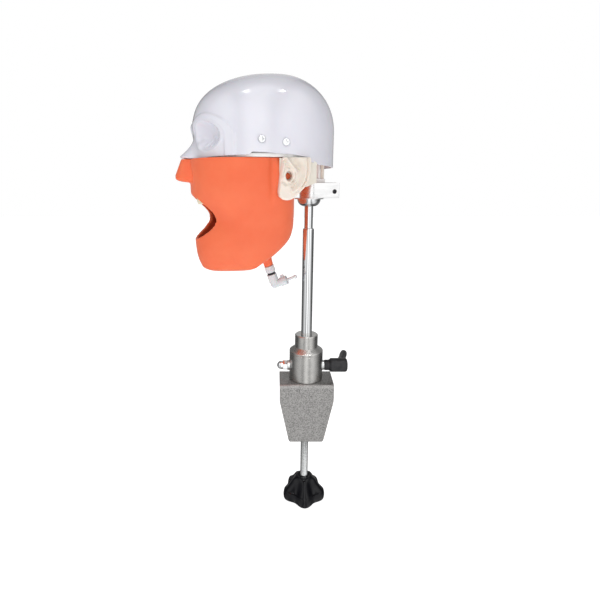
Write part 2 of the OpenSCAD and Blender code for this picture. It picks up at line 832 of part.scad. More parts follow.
module drain_nut() {
    color("white") in_drain() translate([0, 0, -17.6]) rotate_extrude()
        polygon([[4.6, 0], [6.4, 0], [6.8, 0.5], [6.8, 9], [6.4, 9.5], [4.6, 9.5]]);
}

module drain_seal() {
    color("#2a2a2c") in_drain() translate([0, 0, -20.6]) difference() {
        cylinder(r = 5.6, h = 2.9);
        translate([0, 0, -1]) cylinder(r = 4.6, h = 5);
    }
}

module drain_elbow() {
    color("white") in_drain() difference() {
        union() {
            translate([0, 0, -33]) cylinder(r = 6.8, h = 12);
            translate([0, 0, -elbow_depth]) cylinder(r = 5.6, h = 5);
            translate([0, 0, -elbow_depth]) sphere(r = 5.8);
            translate([0, 0, -elbow_depth]) rotate([0, 0, -drain_turn]) rotate([0, 90 - hose_rise, 0])
                cylinder(r = 5.4, h = 9.5);
        }
        translate([0, 0, -24]) cylinder(r = 4.6, h = 5);
        translate([0, 0, -elbow_depth]) cylinder(r = 3, h = 20);
        translate([0, 0, -elbow_depth]) rotate([0, 0, -drain_turn]) rotate([0, 90 - hose_rise, 0])
            cylinder(r = 2.6, h = 12);
    }
}

module hose_nut() {
    color("white") in_hose() translate([0, 0, 9.7]) difference() {
        union() {
            cylinder(r = 6.4, h = 9);
            translate([-9.2, -1.5, 2]) cube([5, 3, 5]);
        }
        translate([0, 0, -1]) cylinder(r = 2.8, h = 12);
        translate([-7.8, 0, 4.5]) rotate([90, 0, 0]) translate([0, 0, -3]) cylinder(r = 0.7, h = 6);
    }
}

module hose_barb() {
    color("white") in_hose() difference() {
        union() {
            translate([0, 0, 9.8]) cylinder(r = 2.7, h = 9);
            translate([0, 0, 18.8]) cylinder(r = 2, h = 15);
            translate([0, 0, 30.5]) cylinder(r1 = 3.2, r2 = 2.2, h = 3.3);
        }
        translate([0, 0, 9]) cylinder(r = 1.1, h = 30);
    }
}

clamp_frame();
pole_socket();
socket_screws();
guide_screw();
guide_washer();
acorn_nut();
lever_bush();
lock_shoe();
lever_stud();
lever_handle();
lever_spring();
lever_screw();
clamp_spindle();
star_knob();
pressure_plate();
plate_ring();
pole();
neck_cup();
neck_disc();
neck_bracket();
neck_screw();
tilt_pin();
friction_washers();
hinge_block();
front_posts();
rear_posts();
head_frame();
frame_screws();
skull_cap();
cap_screws();
face_mask();
ear_near();
ear_far();
ear_plate_near();
ear_plate_far();
jaw_hangers();
arch_mount();
upper_gum();
upper_teeth();
upper_arch_screw();
jaw_pins();
jaw_washers();
jaw_frame();
lower_gum();
lower_teeth();
lower_arch_screw();
drain_tube();
drain_nut();
drain_seal();
drain_elbow();
hose_nut();
hose_barb();
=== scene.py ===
"""Dental simulator head with a typodont on a bench clamp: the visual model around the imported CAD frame."""
import json
import math

import bmesh
import bpy
import numpy as np
from mathutils import Matrix, Vector

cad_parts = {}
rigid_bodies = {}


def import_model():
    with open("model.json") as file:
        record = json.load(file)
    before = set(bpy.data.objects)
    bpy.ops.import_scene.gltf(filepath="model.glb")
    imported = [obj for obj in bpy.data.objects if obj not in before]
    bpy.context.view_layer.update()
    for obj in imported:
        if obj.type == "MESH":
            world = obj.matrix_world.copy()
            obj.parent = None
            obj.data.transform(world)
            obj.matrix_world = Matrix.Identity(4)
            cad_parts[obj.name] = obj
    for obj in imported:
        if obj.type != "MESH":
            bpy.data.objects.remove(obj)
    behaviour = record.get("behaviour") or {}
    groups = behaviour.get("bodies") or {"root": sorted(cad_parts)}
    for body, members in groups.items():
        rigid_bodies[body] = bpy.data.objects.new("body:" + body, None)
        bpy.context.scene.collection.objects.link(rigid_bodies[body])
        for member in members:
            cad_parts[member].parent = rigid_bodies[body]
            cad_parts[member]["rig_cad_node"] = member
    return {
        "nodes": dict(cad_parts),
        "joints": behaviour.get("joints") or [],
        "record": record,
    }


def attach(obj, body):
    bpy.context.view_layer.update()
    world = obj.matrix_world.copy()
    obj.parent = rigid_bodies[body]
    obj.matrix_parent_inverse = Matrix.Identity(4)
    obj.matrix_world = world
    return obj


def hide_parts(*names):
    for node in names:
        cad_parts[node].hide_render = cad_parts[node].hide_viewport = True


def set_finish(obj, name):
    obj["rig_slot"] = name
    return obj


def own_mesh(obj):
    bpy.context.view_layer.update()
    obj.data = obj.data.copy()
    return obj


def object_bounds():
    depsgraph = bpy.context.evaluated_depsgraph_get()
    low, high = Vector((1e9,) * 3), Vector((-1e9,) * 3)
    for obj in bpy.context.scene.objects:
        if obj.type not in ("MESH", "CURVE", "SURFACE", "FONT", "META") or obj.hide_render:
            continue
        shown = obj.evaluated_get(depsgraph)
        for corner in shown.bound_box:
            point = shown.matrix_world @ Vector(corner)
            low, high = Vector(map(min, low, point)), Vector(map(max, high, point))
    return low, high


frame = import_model()
CAD_BOX = [list(corner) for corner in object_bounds()]

MM = 0.001
NODES = frame["nodes"]
JOINTS = {joint["name"]: joint for joint in frame["joints"]}
BODY_OF = {n: body for body, names in frame["record"]["behaviour"]["bodies"].items() for n in names}
SLOT_OF = {part["node"]: part["material_slot"] for part in frame["record"]["subparts"]}

SIDEWAYS = Vector(JOINTS["head_tilt"]["axis"])
HEAD = Matrix.Rotation(math.atan2(-SIDEWAYS.x, SIDEWAYS.y), 4, "Z")


# ---------------------------------------------------------------- camera

def make_camera():
    """A short lens a little below the head's middle, tipped down so that the whole clamp is in the frame."""
    data = bpy.data.cameras.new("camera")
    data.sensor_width = 36
    data.lens = 25.5
    data.shift_x = 0.0417
    data.shift_y = -0.0167
    data.clip_start = 0.01
    camera = bpy.data.objects.new("camera", data)
    camera.location = (-0.047, -0.600, 0.297)
    camera.rotation_euler = (math.radians(76), 0, 0)
    bpy.context.scene.collection.objects.link(camera)
    bpy.context.scene.camera = camera


make_camera()


# ---------------------------------------------------------------- mesh helpers

def link(name, mesh):
    piece = bpy.data.objects.new(name, mesh)
    bpy.context.scene.collection.objects.link(piece)
    return piece


def place(piece, node, *more):
    """Puts a piece on its node's body, in place of the node, with the node's finish."""
    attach(piece, BODY_OF[node])
    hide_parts(node, *more)
    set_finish(piece, SLOT_OF[node])
    return piece


def mesh_from(name, points, faces, matrix=Matrix.Identity(4)):
    """A mesh from points in millimetres."""
    mesh = bpy.data.meshes.new(name)
    mesh.from_pydata([matrix @ (Vector(p) * MM) for p in points], [], faces)
    mesh.validate()
    return mesh


def grid_faces(rows, count, closed=True):
    """Quads between rows of points, each row of count points, closed round or open."""
    faces = []
    for j in range(rows - 1):
        for i in range(count if closed else count - 1):
            a, b = j * count + i, j * count + (i + 1) % count
            faces.append((a, b, b + count, a + count))
    return faces


def smooth(piece, angle=None):
    mesh = piece.data
    mesh.polygons.foreach_set("use_smooth", [True] * len(mesh.polygons))
    if angle is not None:
        mesh.set_sharp_from_angle(angle=math.radians(angle))
    mesh.update()
    return piece


def fix_normals(mesh):
    bm = bmesh.new()
    bm.from_mesh(mesh)
    bmesh.ops.remove_doubles(bm, verts=bm.verts, dist=1e-6)
    bmesh.ops.recalc_face_normals(bm, faces=bm.faces)
    bm.to_mesh(mesh)
    bm.free()


def apply_modifiers(piece):
    graph = bpy.context.evaluated_depsgraph_get()
    graph.update()
    mesh = bpy.data.meshes.new_from_object(piece.evaluated_get(graph))
    piece.modifiers.clear()
    piece.data = mesh
    return piece


def boolean(piece, tool, operation="DIFFERENCE"):
    modifier = piece.modifiers.new("cut", "BOOLEAN")
    modifier.operation = operation
    modifier.solver = "EXACT"
    modifier.object = tool
    apply_modifiers(piece)
    bpy.data.objects.remove(tool)
    return piece


def remesh(piece, voxel, rounds):
    """Melts a closed piece into one even skin and relaxes it."""
    modifier = piece.modifiers.new("voxels", "REMESH")
    modifier.mode = "VOXEL"
    modifier.voxel_size = voxel * MM
    relax = piece.modifiers.new("relax", "SMOOTH")
    relax.iterations = rounds
    relax.factor = 0.5
    return smooth(apply_modifiers(piece))


def lathe(name, profile, count=64, matrix=Matrix.Identity(4)):
    """A turned mesh about Z from (radius, height) points. A radius of 0 at an end closes it."""
    points, rows = [], []
    for radius, height in profile:
        if radius < 1e-6:
            rows.append([len(points)])
            points.append((0, 0, height))
        else:
            rows.append(list(range(len(points), len(points) + count)))
            points += [(radius * math.cos(t), radius * math.sin(t), height)
                       for t in (2 * math.pi * i / count for i in range(count))]
    faces = []
    for low, high in zip(rows, rows[1:]):
        for i in range(count):
            k = (i + 1) % count
            if len(low) == 1 and len(high) > 1:
                faces.append((low[0], high[k], high[i]))
            elif len(high) == 1 and len(low) > 1:
                faces.append((low[i], low[k], high[0]))
            elif len(low) > 1:
                faces.append((low[i], low[k], high[k], high[i]))
    mesh = mesh_from(name, points, faces, matrix)
    fix_normals(mesh)
    return mesh


FLAT_ANGLE = math.radians(0.6)
SHARP_ANGLE = math.radians(28)


def soften(node, width):
    """A copy of a CAD node with its edges rounded, for the real part's broken edges."""
    bm = bmesh.new()
    bm.from_mesh(NODES[node].data)
    bmesh.ops.remove_doubles(bm, verts=bm.verts, dist=2e-6)
    bmesh.ops.dissolve_limit(bm, angle_limit=FLAT_ANGLE, verts=bm.verts, edges=bm.edges)
    edges = [e for e in bm.edges if len(e.link_faces) == 2 and e.calc_face_angle(0) > SHARP_ANGLE]
    bmesh.ops.bevel(bm, geom=edges, offset=width * MM, segments=3, profile=0.6, affect="EDGES",
                    clamp_overlap=True)
    bmesh.ops.triangulate(bm, faces=[f for f in bm.faces if len(f.verts) > 4])
    mesh = bpy.data.meshes.new(node + "_soft")
    bm.to_mesh(mesh)
    bm.free()
    return place(smooth(link(node + "_soft", mesh), 40), node)


# ---------------------------------------------------------------- material helpers

class Shader:
    """A Principled surface with a few procedural layers."""

    def __init__(self, name, colour, roughness, metallic=0.0, **more):
        self.material = bpy.data.materials.new(name)
        self.material.use_nodes = True
        self.tree = self.material.node_tree
        self.main = self.tree.nodes["Principled BSDF"]
        self.main.inputs["Base Color"].default_value = (*colour, 1)
        self.main.inputs["Roughness"].default_value = roughness
        self.main.inputs["Metallic"].default_value = metallic
        for key, value in more.items():
            self.main.inputs[key.replace("_", " ")].default_value = value
        self.colour = colour
        self.place = self.tree.nodes.new("ShaderNodeTexCoord").outputs["Object"]
        self.bump = None

    def node(self, kind, **inputs):
        made = self.tree.nodes.new(kind)
        for key, value in inputs.items():
            made.inputs[key.replace("_", " ")].default_value = value
        return made

    def join(self, source, target):
        self.tree.links.new(source, target)

    def noise(self, size_mm, detail=3, rough=0.55, stretch=None):
        made = self.node("ShaderNodeTexNoise", Scale=1 / (size_mm * MM), Detail=detail, Roughness=rough)
        if stretch:
            mapping = self.node("ShaderNodeMapping", Scale=stretch)
            self.join(self.place, mapping.inputs["Vector"])
            self.join(mapping.outputs["Vector"], made.inputs["Vector"])
        else:
            self.join(self.place, made.inputs["Vector"])
        return made.outputs["Fac"]

    def tint(self, source, other, start=0.35, stop=0.65):
        """Mixes the base colour with another one by a texture."""
        ramp = self.tree.nodes.new("ShaderNodeValToRGB")
        ramp.color_ramp.elements[0].position = start
        ramp.color_ramp.elements[1].position = stop
        ramp.color_ramp.elements[0].color = (*self.colour, 1)
        ramp.color_ramp.elements[1].color = (*other, 1)
        self.join(source, ramp.inputs["Fac"])
        self.join(ramp.outputs["Color"], self.main.inputs["Base Color"])
        return self

    def gloss(self, source, low, high):
        """Varies the roughness from low to high by a texture."""
        made = self.node("ShaderNodeMapRange", From_Min=0.35, From_Max=0.65, To_Min=low, To_Max=high)
        self.join(source, made.inputs["Value"])
        self.join(made.outputs["Result"], self.main.inputs["Roughness"])
        return self

    def relief(self, source, depth_mm):
        """Adds a bump by a texture, on top of any earlier one."""
        made = self.node("ShaderNodeBump", Strength=1.0, Distance=depth_mm * MM)
        self.join(source, made.inputs["Height"])
        if self.bump:
            self.join(self.bump.outputs["Normal"], made.inputs["Normal"])
        self.join(made.outputs["Normal"], self.main.inputs["Normal"])
        self.bump = made
        return self


def cast_alloy():
    """Blasted aluminium casting: a fine grain, shallow pits and cloudy patches."""
    s = Shader("cast_alloy", (0.17, 0.167, 0.163), 0.45, 0.75)
    s.tint(s.noise(1.3, 5, 0.75), (0.46, 0.45, 0.44), 0.4, 0.58)
    s.gloss(s.noise(2.5), 0.34, 0.55)
    s.relief(s.noise(0.9, 2), 0.16).relief(s.noise(3.5, 4), 0.12)
    return s.material


def socket_alloy():
    """Turned and polished steel with faint tool marks."""
    s = Shader("socket_alloy", (0.50, 0.495, 0.48), 0.3, 1.0)
    s.tint(s.noise(7, 5), (0.58, 0.57, 0.55))
    s.gloss(s.noise(1.5, 2), 0.26, 0.36)
    s.relief(s.noise(6, 2, stretch=(0.05, 0.05, 9)), 0.015)
    return s.material


def zinc_steel():
    s = Shader("zinc_steel", (0.62, 0.63, 0.64), 0.28, 1.0)
    s.gloss(s.noise(1.2, 3), 0.2, 0.42)
    s.tint(s.noise(5, 4), (0.72, 0.73, 0.72))
    s.relief(s.noise(0.4, 2), 0.02)
    return s.material


def chrome():
    s = Shader("chrome", (0.80, 0.81, 0.82), 0.07, 1.0)
    s.gloss(s.noise(6, 4), 0.05, 0.12)
    s.relief(s.noise(14, 2), 0.03)
    return s.material


def polished_steel():
    s = Shader("polished_steel", (0.84, 0.84, 0.84), 0.3, 1.0)
    s.gloss(s.noise(3, 3, stretch=(0.1, 0.1, 4)), 0.24, 0.38)
    s.relief(s.noise(2, 3, stretch=(0.05, 0.05, 6)), 0.01)
    return s.material


def black_steel():
    s = Shader("black_steel", (0.025, 0.025, 0.028), 0.42, 0.4)
    s.gloss(s.noise(1.0), 0.35, 0.55)
    s.relief(s.noise(0.4, 2), 0.02)
    return s.material


def spring_steel():
    s = Shader("spring_steel", (0.5, 0.5, 0.52), 0.3, 1.0)
    s.gloss(s.noise(0.8), 0.22, 0.4)
    return s.material


def brass():
    s = Shader("brass", (0.72, 0.53, 0.22), 0.3, 1.0)
    s.tint(s.noise(3, 4), (0.62, 0.44, 0.18))
    s.gloss(s.noise(1), 0.22, 0.42)
    return s.material


def knob_black():
    """Polished phenolic: near black, glossy, with the slight flow marks of the moulding."""
    s = Shader("knob_black", (0.003, 0.003, 0.005), 0.06, Specular_IOR_Level=0.22)
    s.tint(s.noise(12, 5), (0.006, 0.006, 0.008))
    s.gloss(s.noise(5, 4), 0.04, 0.1)
    s.relief(s.noise(10, 2), 0.03)
    return s.material


def lever_black():
    s = Shader("lever_black", (0.014, 0.014, 0.016), 0.36, Specular_IOR_Level=0.35)
    s.tint(s.noise(8, 4), (0.028, 0.028, 0.03))
    s.gloss(s.noise(2, 3), 0.32, 0.5)
    s.relief(s.noise(0.5, 2), 0.03)
    return s.material


def cap_white():
    """Glossy moulded shell, cool white, with a little sink and waviness."""
    s = Shader("cap_white", (0.71, 0.705, 0.775), 0.16, Coat_Weight=0.6, Coat_Roughness=0.04,
               Subsurface_Weight=0.05, Subsurface_Scale=0.004)
    s.tint(s.noise(45, 3), (0.735, 0.73, 0.795))
    s.gloss(s.noise(18, 4), 0.13, 0.22)
    s.relief(s.noise(26, 2), 0.10).relief(s.noise(0.9, 2), 0.003)
    return s.material


def white_plastic():
    s = Shader("white_plastic", (0.80, 0.80, 0.79), 0.42)
    s.tint(s.noise(14, 3), (0.84, 0.84, 0.82))
    s.gloss(s.noise(3), 0.36, 0.5)
    s.relief(s.noise(0.5, 2), 0.02)
    return s.material


def drain_white():
    s = Shader("drain_white", (0.64, 0.67, 0.70), 0.26, Subsurface_Weight=0.1, Subsurface_Scale=0.003)
    s.tint(s.noise(9, 3), (0.70, 0.72, 0.74))
    s.gloss(s.noise(2), 0.2, 0.36)
    s.relief(s.noise(0.6, 2), 0.012)
    return s.material


def cream_plastic():
    s = Shader("cream_plastic", (0.77, 0.72, 0.63), 0.45)
    s.tint(s.noise(13, 3), (0.81, 0.77, 0.69))
    s.gloss(s.noise(3), 0.38, 0.54)
    s.relief(s.noise(0.5, 2), 0.02)
    return s.material


def seal_rubber():
    s = Shader("seal_rubber", (0.02, 0.02, 0.022), 0.6)
    s.gloss(s.noise(1), 0.5, 0.7)
    s.relief(s.noise(0.4, 2), 0.03)
    return s.material


def mask_silicone():
    """Cast silicone: satin, slightly translucent, a faint powdery mottle."""
    s = Shader("mask_silicone", (0.88, 0.172, 0.066), 0.44, Subsurface_Weight=0.22, Subsurface_Scale=0.006,
               Subsurface_Radius=(1.0, 0.35, 0.18), Sheen_Weight=0.12, Sheen_Roughness=0.4)
    s.tint(s.noise(32, 4), (0.85, 0.148, 0.054))
    s.gloss(s.noise(7, 4), 0.38, 0.52)
    s.relief(s.noise(0.8, 3), 0.025).relief(s.noise(20, 2), 0.12)
    return s.material


def ear_silicone():
    s = Shader("ear_silicone", (0.83, 0.755, 0.68), 0.42, Subsurface_Weight=0.2, Subsurface_Scale=0.004,
               Subsurface_Radius=(1.0, 0.6, 0.4))
    s.tint(s.noise(12, 4), (0.80, 0.72, 0.64))
    s.gloss(s.noise(4, 3), 0.36, 0.5)
    s.relief(s.noise(0.7, 3), 0.03)
    return s.material


def jaw_steel():
    s = Shader("jaw_steel", (0.55, 0.55, 0.57), 0.3, 1.0)
    s.gloss(s.noise(1.5, 3, stretch=(6, 0.3, 0.3)), 0.24, 0.42)
    s.relief(s.noise(1, 3, stretch=(6, 0.3, 0.3)), 0.01)
    return s.material


def gum_pink():
    """Denture acrylic with fine red fibres and a wet gloss."""
    s = Shader("gum_pink", (0.70, 0.24, 0.22), 0.26, Subsurface_Weight=0.2, Subsurface_Scale=0.003,
               Subsurface_Radius=(1.0, 0.4, 0.3))
    s.tint(s.noise(1.6, 5, stretch=(1, 1, 3)), (0.60, 0.15, 0.14), 0.5, 0.72)
    s.gloss(s.noise(3), 0.2, 0.36)
    s.relief(s.noise(1.1, 3), 0.06)
    return s.material


def tooth_ivory():
    s = Shader("tooth_ivory", (0.86, 0.77, 0.58), 0.2, Subsurface_Weight=0.2, Subsurface_Scale=0.002,
               Subsurface_Radius=(1.0, 0.8, 0.5), Coat_Weight=0.2)
    s.tint(s.noise(4, 3), (0.82, 0.71, 0.50))
    s.gloss(s.noise(2), 0.14, 0.28)
    s.relief(s.noise(1.2, 3), 0.02)
    return s.material


MATERIALS = {make.__name__: make() for make in (
    cast_alloy, socket_alloy, zinc_steel, chrome, polished_steel, black_steel, spring_steel, brass,
    knob_black, lever_black, cap_white, white_plastic, drain_white, cream_plastic, seal_rubber,
    mask_silicone, ear_silicone, jaw_steel, gum_pink, tooth_ivory)}


def coat_everything():
    """Gives each piece and each CAD node the material of its slot."""
    for piece in [o for o in bpy.data.objects if o.type == "MESH"]:
        node = piece.get("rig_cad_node")
        slot = SLOT_OF[node] if node else piece.get("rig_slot")
        if slot:
            piece.data.materials.clear()
            piece.data.materials.append(MATERIALS[slot])


# ---------------------------------------------------------------- curves

def spline(x, xs, ys):
    """A smooth curve through the points (xs, ys), level beyond its ends."""
    xs, ys = np.array(xs, float), np.array(ys, float)
    slope = np.gradient(ys, xs)
    x = np.clip(x, xs[0], xs[-1])
    k = np.clip(np.searchsorted(xs, x) - 1, 0, len(xs) - 2)
    h = xs[k + 1] - xs[k]
    t = (x - xs[k]) / h
    return ((1 + 2 * t) * (1 - t) ** 2 * ys[k] + t * (1 - t) ** 2 * h * slope[k]
            + t * t * (3 - 2 * t) * ys[k + 1] + t * t * (t - 1) * h * slope[k + 1])


def spow(v, e):
    return np.sign(v) * np.abs(v) ** e


def outline(angle, middle, front, back, side, n_front, n_back):
    """Superellipse around x = middle, in head axes: the face looks to -x."""
    c, s = np.cos(angle), np.sin(angle)
    n = np.where(c < 0, n_front, n_back)
    x = middle + np.where(c < 0, middle - front, back - middle) * spow(c, 2 / n)
    return x, side * spow(s, 2 / n)


def dome(z, start, height, n):
    """1 below start, falling to 0 over the height like a superellipse."""
    u = np.clip((z - start) / height, 0, 1)
    return (1 - u ** n) ** (1 / n)


def bell(distance, width):
    return np.exp(-(distance / width) ** 2)


def rise(x, low, high):
    """Smooth step from 0 at low to 1 at high."""
    t = np.clip((x - low) / (high - low), 0, 1)
    return t * t * (3 - 2 * t)


def line_distance(u, v, line):
    """Distance from each point to an open run of straight stretches."""
    best = np.full(np.shape(u), 1e9)
    for (a, b), (c, d) in zip(line, line[1:]):
        length = (c - a) ** 2 + (d - b) ** 2
        t = np.clip(((u - a) * (c - a) + (v - b) * (d - b)) / length, 0, 1)
        best = np.minimum(best, np.hypot(u - a - t * (c - a), v - b - t * (d - b)))
    return best


def outward(points):
    """Unit normals of a closed-round grid of points [row, angle, xyz], away from the head's axis."""
    along = np.roll(points, -1, 1) - np.roll(points, 1, 1)
    up = np.gradient(points, axis=0)
    normal = np.cross(along, up)
    normal /= np.maximum(np.linalg.norm(normal, axis=2, keepdims=True), 1e-9)
    away = points - points.mean((0, 1))
    return normal * np.sign((normal * away).sum(2, keepdims=True))


# ---------------------------------------------------------------- skull cap

CAP_AXIS = -50
CAP_TOP = 428
CAP_WALL = 2.5
EYE = (35, 351)
EYE_SIZE = (18.5, 17)


def cap_edge(x, y):
    """Height of the cap's lower edge: a notch over the frame's side flange and a step down behind the ear."""
    along = np.interp(x, [-156, -140, -110, -97, -94.5, -48, -26, -24.5, -12, 34],
                      [326.5, 328, 329.5, 330, 333, 330.3, 327, 322.5, 319.5, 316.8])
    return along + 3.5 * bell(y, 13) * (x < -100)


def cap_points(rows, count):
    angle = np.linspace(0, 2 * math.pi, count, endpoint=False)
    x0, y0 = outline(angle, CAP_AXIS, -154, 26, 76, 2.2, 2.2)
    edge = cap_edge(x0, y0)
    t = np.linspace(0, 1, rows)[:, None]
    shoulder, low = 368, 0.5
    z = np.where(t < low, edge + (shoulder - edge) * t / low,
                 shoulder + (CAP_TOP - shoulder) * np.sin(np.clip((t - low) / (1 - low), 0, 1) * math.pi / 2))
    x, y = outline(angle[None, :], CAP_AXIS, CAP_AXIS - 104 * dome(z, 365, 63, 2.25),
                   CAP_AXIS + 76 * dome(z, 360, 68, 2.05), 76 * dome(z, 355, 73, 2.6), 2.2, 2.2)
    return np.stack([x, y, z], 2)


def shape_cap(points):
    """Adds the eye hollows, sharp under the brow and open to the nose, a ridge round each, and the bridge
    of the nose."""
    x, y, z = points[..., 0], points[..., 1], points[..., 2]
    front = x < -75
    across, up = np.abs(y) - EYE[0], z - EYE[1]
    radius = np.hypot(across / EYE_SIZE[0], up / EYE_SIZE[1])
    browward = (across / EYE_SIZE[0] + up / EYE_SIZE[1]) / np.maximum(1.4 * radius, 0.4)
    hollow = 15 * np.clip(1 - radius ** 2, 0, 1) ** (1.25 - 0.7 * browward)
    fold = 2.5 * bell(line_distance(across, up, ((-2, -10), (2, -1), (6, -9))), 1.5)
    bump = 3 * bell(np.hypot(across + 9, up + 7), 5)
    rim = 1.4 * bell(radius - 1.1, 0.09) * rise(browward, -0.7, 0.4)
    beside = np.where(up > 0, radius, np.abs(across) / EYE_SIZE[0])
    outer = np.maximum(rise(across, -14, 2), rise(up, 0, 10))
    ridge = 1.5 * (rise(beside, 1.14, 1.22) - rise(beside, 1.48, 1.56)) * outer
    height = (fold + bump) * (radius < 1) + rim + ridge - hollow
    points = points + outward(points) * (height * front)[..., None]
    width = 8 + 5 * np.clip((350 - z) / 20, 0, 1)
    bridge = 18 * (np.clip(352 - z, 0, 30) / 22) ** 1.6 * bell(y, width)
    brow = 1.6 * bell(z - 367, 7) * bell(np.abs(y) - 16, 12)
    points[..., 0] -= (bridge + brow) * front
    return points


CAP_SCREWS = ((-84, 73.2, 346.5), (-56, 75.8, 343.5))


def screw_seats():
    """Holes and counterbores of the four cap screws, as one mesh."""
    bm = bmesh.new()
    for side in (-1, 1):
        for x, seat, z in CAP_SCREWS:
            at = (HEAD @ Matrix.Translation(Vector((x, 0, z)) * MM)
                  @ Matrix.Rotation(math.radians(-90 * side), 4, "X"))
            profile = [(0, 60), (1.8, 60), (1.8, seat), (5.2, seat), (5.2, 84), (0, 84)]
            bm.from_mesh(lathe("seat", profile, 40, at))
    mesh = bpy.data.meshes.new("screw_seats")
    bm.to_mesh(mesh)
    bm.free()
    return link("screw_seats", mesh)


def make_skull_cap():
    rows, count = 150, 480
    points = shape_cap(cap_points(rows, count)).reshape(-1, 3)
    mesh = mesh_from("skull_cap_shell", points.tolist(), grid_faces(rows, count), HEAD)
    fix_normals(mesh)
    piece = link("skull_cap_shell", mesh)
    wall = piece.modifiers.new("wall", "SOLIDIFY")
    wall.thickness = CAP_WALL * MM
    wall.offset = -1
    apply_modifiers(piece)
    fix_normals(piece.data)
    boolean(piece, screw_seats())
    edge = piece.modifiers.new("edge", "BEVEL")
    edge.width = 0.7 * MM
    edge.segments = 3
    edge.limit_method = "ANGLE"
    edge.angle_limit = math.radians(50)
    return place(smooth(apply_modifiers(piece)), "skull_cap")


# ---------------------------------------------------------------- face mask

MASK_MIDDLE = -88
MASK_WALL = 3.5
MASK_TOP = 327.2
MASK_Z = (185, 188, 194, 202, 213, 226, 240, 256, 272, 288, 303, 316, MASK_TOP)
MASK_FRONT = (-141, -147, -151, -154, -156, -157, -158, -158, -159, -160, -160, -160, -160)
MASK_REAR = (-98, -84, -72, -59, -45, -33.5, -29, -28.5, -29, -29.5, -30, -30, -30.5)
MASK_SIDE = (20, 30, 37, 42, 46.5, 50.5, 54, 58.5, 63, 66.5, 68, 68.5, 68.5)
EAR_CENTRE = (-52.5, 306)


def mask_points(levels, count, inset=0):
    """Rings of the face, from the chin up, each a superellipse that is most pointed at the mouth."""
    angle = np.linspace(0, 2 * math.pi, count, endpoint=False)[None, :]
    z = np.array(levels, float)[:, None]
    squareness = spline(z, (183, 225, 254, 285, 327), (2.3, 2.0, 1.8, 2.1, 2.3))
    x, y = outline(angle, MASK_MIDDLE, spline(z, MASK_Z, MASK_FRONT) + inset,
                   spline(z, MASK_Z, MASK_REAR) - inset, spline(z, MASK_Z, MASK_SIDE) - inset, squareness, 3)
    return np.stack([x, y, z + 0 * x], 2)


def draw_in_corners(points):
    """Sets the corners of the mouth back."""
    x, y, z = points[..., 0], points[..., 1], points[..., 2]
    points[..., 0] += 8 * bell(np.hypot(np.abs(y) - 34, (z - 256) * 0.75), 17) * rise(-x, 98, 122)
    return points


def shape_mask(points):
    """Nose, mouth corners, the crease in front of each ear and the pad behind it."""
    x, y, z = points[..., 0], points[..., 1], points[..., 2]
    side = np.abs(y)
    width = spline(z, (298, 304, 312, 328), (15, 15.5, 13.5, 9))
    reach = np.interp(z, (298.6, 300.2, 303, 307.5, 328), (0, 14, 18.5, 18.5, 10))
    nose = reach * np.clip(1 - (side / width) ** 2.2, 0, 1) ** 0.7
    wing = 1.8 * bell(side - width - 0.6, 1.6) * rise(z, 299, 302) * (1 - rise(z, 311, 318))
    crease = 2.2 * bell(x + 70, 3.5) * rise(z, 270, 292) * (1 - rise(z, 322, 332))
    from_canal = np.hypot(x - EAR_CENTRE[0], z - EAR_CENTRE[1])
    pad = np.maximum(68.8 - side, 0) * rise(22 - from_canal, 0, 12) + 2 * bell(from_canal, 3.4)
    points[..., 1] += np.sign(y) * (pad - crease) * (x > -90)
    points[..., 0] += (wing - nose) * (x < -100)
    return draw_in_corners(points)


def closed_rings(name, points):
    """A closed mesh through rings, with flat ends."""
    rows, count = points.shape[:2]
    faces = grid_faces(rows, count) + [tuple(range(count)), tuple(range((rows - 1) * count, rows * count))]
    mesh = mesh_from(name, points.reshape(-1, 3).tolist(), faces, HEAD)
    fix_normals(mesh)
    return link(name, mesh)


def mouth_cutter():
    """The mouth opening, wide at the corners and rounded above and below, as a block through the lips."""
    angle = np.linspace(0, 2 * math.pi, 72, endpoint=False)
    y = 33.5 * spow(np.cos(angle), 0.95)
    z = 255 + np.where(np.sin(angle) > 0, 30, 27.5) * spow(np.sin(angle), 1.05)
    rings = [np.stack([np.full(72, x), y, z], 1) for x in (-200, -105)]
    return closed_rings("mouth_cutter", np.array(rings))


def drain_matrix():
    return HEAD @ Matrix.Translation(Vector((-60, 0, 194)) * MM) @ Matrix.Rotation(math.radians(-18), 4, "Y")


def make_face_mask():
    count = 260
    levels = np.concatenate([185 + 17 * np.linspace(0, 1, 14) ** 1.6, np.linspace(203.5, MASK_TOP, 96)])
    chin = mask_points([185], count)
    centre = np.array([-120, 0, 183.4])
    shares = (0.15, 0.4, 0.65, 0.85, 0.95)
    under = [centre + (chin[0] - centre) * s for s in shares]
    for ring, s in zip(under, shares):
        ring[:, 2] = centre[2] + 1.6 * s ** 4
    piece = closed_rings("face_mask_skin",
                         np.concatenate([np.array(under), shape_mask(mask_points(levels, count))]))
    profile = [(0, -8), (5.8, -8), (6.5, -7.2), (6.6, -2), (7.4, 3), (10, 8), (12, 10), (0, 10)]
    spout = lathe("spout", profile, 48, drain_matrix())
    boolean(piece, link("spout", spout), "UNION")
    inside = draw_in_corners(mask_points(np.linspace(189.5, 345, 80), 160, MASK_WALL))
    boolean(piece, closed_rings("inside", inside))
    boolean(piece, mouth_cutter())
    bore = lathe("bore", [(0, -9), (4.6, -9), (4.6, 25), (0, 25)], 32, drain_matrix())
    boolean(piece, link("bore", bore))
    return place(remesh(piece, 0.95, 4), "face_mask")


# ---------------------------------------------------------------- ears

